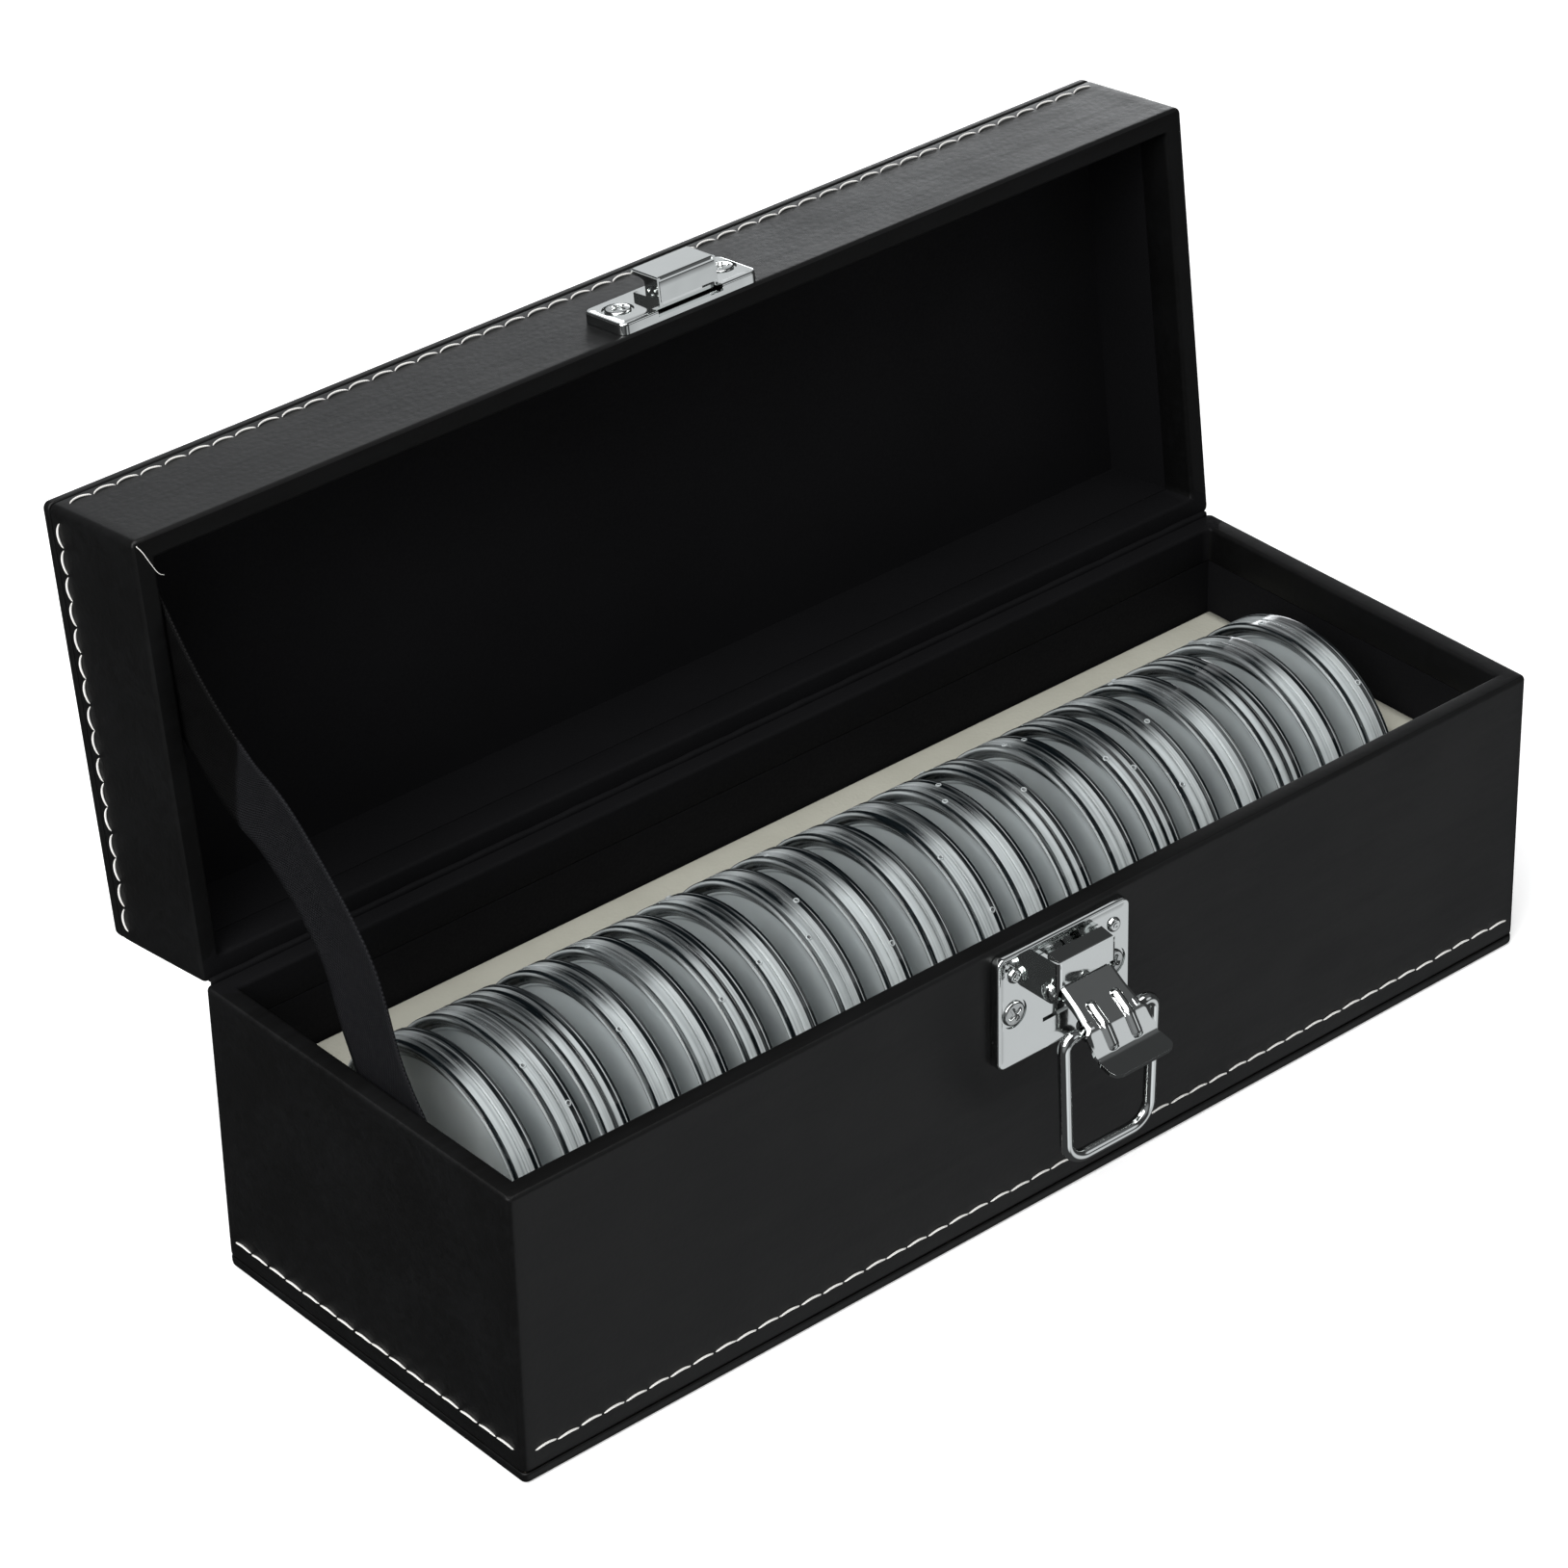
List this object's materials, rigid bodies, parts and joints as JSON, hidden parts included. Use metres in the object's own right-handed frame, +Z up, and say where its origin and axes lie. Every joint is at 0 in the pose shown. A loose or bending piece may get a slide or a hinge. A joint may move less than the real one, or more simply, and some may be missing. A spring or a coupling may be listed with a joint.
{
  "type": "coin display case",
  "caption": "Long hinged leatherette case, open, holding a row of round clear coin capsules in a foam trough; lid strap and chromed toggle latch.",
  "frame": {"origin": "the middle of the case's flat underside", "axes": "X along the case's length, -Y out of the latch's side, +Y the hinge side, +Z up"},
  "size_m": [0.23, 0.1367, 0.1435],
  "materials": {
    "board": "raw pressed board, hidden",
    "leatherette": "black grained leatherette",
    "lining": "matt black lining paper",
    "foam": "cream closed foam",
    "strap_ribbon": "woven dark grey ribbon",
    "chromed_steel": "bright chromed steel",
    "clear_plastic": "clear moulded plastic"
  },
  "bodies": {
    "base": {"base_front_board": "board", "base_back_board": "board", "base_left_board": "board", "base_right_board": "board", "base_floor_board": "board", "base_cover": "leatherette", "base_bottom_cover": "leatherette", "base_lining": "lining", "foam_insert": "foam", "latch_plate": "chromed_steel", "latch_bridge": "chromed_steel", "latch_pin": "chromed_steel", "latch_screws": "chromed_steel", "hinge_strip": "leatherette", "lid_strap": "strap_ribbon"},
    "lid": {"lid_front_board": "board", "lid_back_board": "board", "lid_left_board": "board", "lid_right_board": "board", "lid_top_board": "board", "lid_cover": "leatherette", "lid_top_cover": "leatherette", "lid_lining": "lining", "catch_plate": "chromed_steel", "catch_hook": "chromed_steel", "catch_screws": "chromed_steel"},
    "lever": {"latch_lever": "chromed_steel"},
    "bail": {"latch_bail": "chromed_steel"},
    "capsule_01": {"capsule_01": "clear_plastic"},
    "capsule_02": {"capsule_02": "clear_plastic"},
    "capsule_03": {"capsule_03": "clear_plastic"},
    "capsule_04": {"capsule_04": "clear_plastic"},
    "capsule_05": {"capsule_05": "clear_plastic"},
    "capsule_06": {"capsule_06": "clear_plastic"},
    "capsule_07": {"capsule_07": "clear_plastic"},
    "capsule_08": {"capsule_08": "clear_plastic"},
    "capsule_09": {"capsule_09": "clear_plastic"},
    "capsule_10": {"capsule_10": "clear_plastic"},
    "capsule_11": {"capsule_11": "clear_plastic"},
    "capsule_12": {"capsule_12": "clear_plastic"},
    "capsule_13": {"capsule_13": "clear_plastic"},
    "capsule_14": {"capsule_14": "clear_plastic"},
    "capsule_15": {"capsule_15": "clear_plastic"},
    "capsule_16": {"capsule_16": "clear_plastic"},
    "capsule_17": {"capsule_17": "clear_plastic"},
    "capsule_18": {"capsule_18": "clear_plastic"},
    "capsule_19": {"capsule_19": "clear_plastic"},
    "capsule_20": {"capsule_20": "clear_plastic"}
  },
  "joints": [
    {"name": "lid_hinge", "type": "hinge", "parent": "base", "child": "lid", "pos_m": [0, 0.04, 0.057], "axis": [-1, 0, 0], "range_deg": [-96.5, 0], "deforming": ["lid_strap", "hinge_strip"]},
    {"name": "latch_lever_hinge", "type": "hinge", "parent": "base", "child": "lever", "pos_m": [0.0013, -0.0452, 0.0477], "axis": [-1, 0, 0], "range_deg": [-64, 0]},
    {"name": "latch_bail_hinge", "type": "hinge", "parent": "lever", "child": "bail", "pos_m": [0.0013, -0.0526, 0.043], "axis": [-1, 0, 0], "range_deg": [0, 242.8]},
    {"name": "capsule_01_lift", "type": "slide", "parent": "base", "child": "capsule_01", "axis": [0, 0, 1], "range_m": [0, 0.055]},
    {"name": "capsule_02_lift", "type": "slide", "parent": "base", "child": "capsule_02", "axis": [0, 0, 1], "range_m": [0, 0.055]},
    {"name": "capsule_03_lift", "type": "slide", "parent": "base", "child": "capsule_03", "axis": [0, 0, 1], "range_m": [0, 0.055]},
    {"name": "capsule_04_lift", "type": "slide", "parent": "base", "child": "capsule_04", "axis": [0, 0, 1], "range_m": [0, 0.055]},
    {"name": "capsule_05_lift", "type": "slide", "parent": "base", "child": "capsule_05", "axis": [0, 0, 1], "range_m": [0, 0.055]},
    {"name": "capsule_06_lift", "type": "slide", "parent": "base", "child": "capsule_06", "axis": [0, 0, 1], "range_m": [0, 0.055]},
    {"name": "capsule_07_lift", "type": "slide", "parent": "base", "child": "capsule_07", "axis": [0, 0, 1], "range_m": [0, 0.055]},
    {"name": "capsule_08_lift", "type": "slide", "parent": "base", "child": "capsule_08", "axis": [0, 0, 1], "range_m": [0, 0.055]},
    {"name": "capsule_09_lift", "type": "slide", "parent": "base", "child": "capsule_09", "axis": [0, 0, 1], "range_m": [0, 0.055]},
    {"name": "capsule_10_lift", "type": "slide", "parent": "base", "child": "capsule_10", "axis": [0, 0, 1], "range_m": [0, 0.055]},
    {"name": "capsule_11_lift", "type": "slide", "parent": "base", "child": "capsule_11", "axis": [0, 0, 1], "range_m": [0, 0.055]},
    {"name": "capsule_12_lift", "type": "slide", "parent": "base", "child": "capsule_12", "axis": [0, 0, 1], "range_m": [0, 0.055]},
    {"name": "capsule_13_lift", "type": "slide", "parent": "base", "child": "capsule_13", "axis": [0, 0, 1], "range_m": [0, 0.055]},
    {"name": "capsule_14_lift", "type": "slide", "parent": "base", "child": "capsule_14", "axis": [0, 0, 1], "range_m": [0, 0.055]},
    {"name": "capsule_15_lift", "type": "slide", "parent": "base", "child": "capsule_15", "axis": [0, 0, 1], "range_m": [0, 0.055]},
    {"name": "capsule_16_lift", "type": "slide", "parent": "base", "child": "capsule_16", "axis": [0, 0, 1], "range_m": [0, 0.055]},
    {"name": "capsule_17_lift", "type": "slide", "parent": "base", "child": "capsule_17", "axis": [0, 0, 1], "range_m": [0, 0.055]},
    {"name": "capsule_18_lift", "type": "slide", "parent": "base", "child": "capsule_18", "axis": [0, 0, 1], "range_m": [0, 0.055]},
    {"name": "capsule_19_lift", "type": "slide", "parent": "base", "child": "capsule_19", "axis": [0, 0, 1], "range_m": [0, 0.055]},
    {"name": "capsule_20_lift", "type": "slide", "parent": "base", "child": "capsule_20", "axis": [0, 0, 1], "range_m": [0, 0.055]}
  ],
  "couplings": [
    {"joint": "latch_bail_hinge", "follows": "latch_lever_hinge", "ratio": -3.7934}
  ]
}
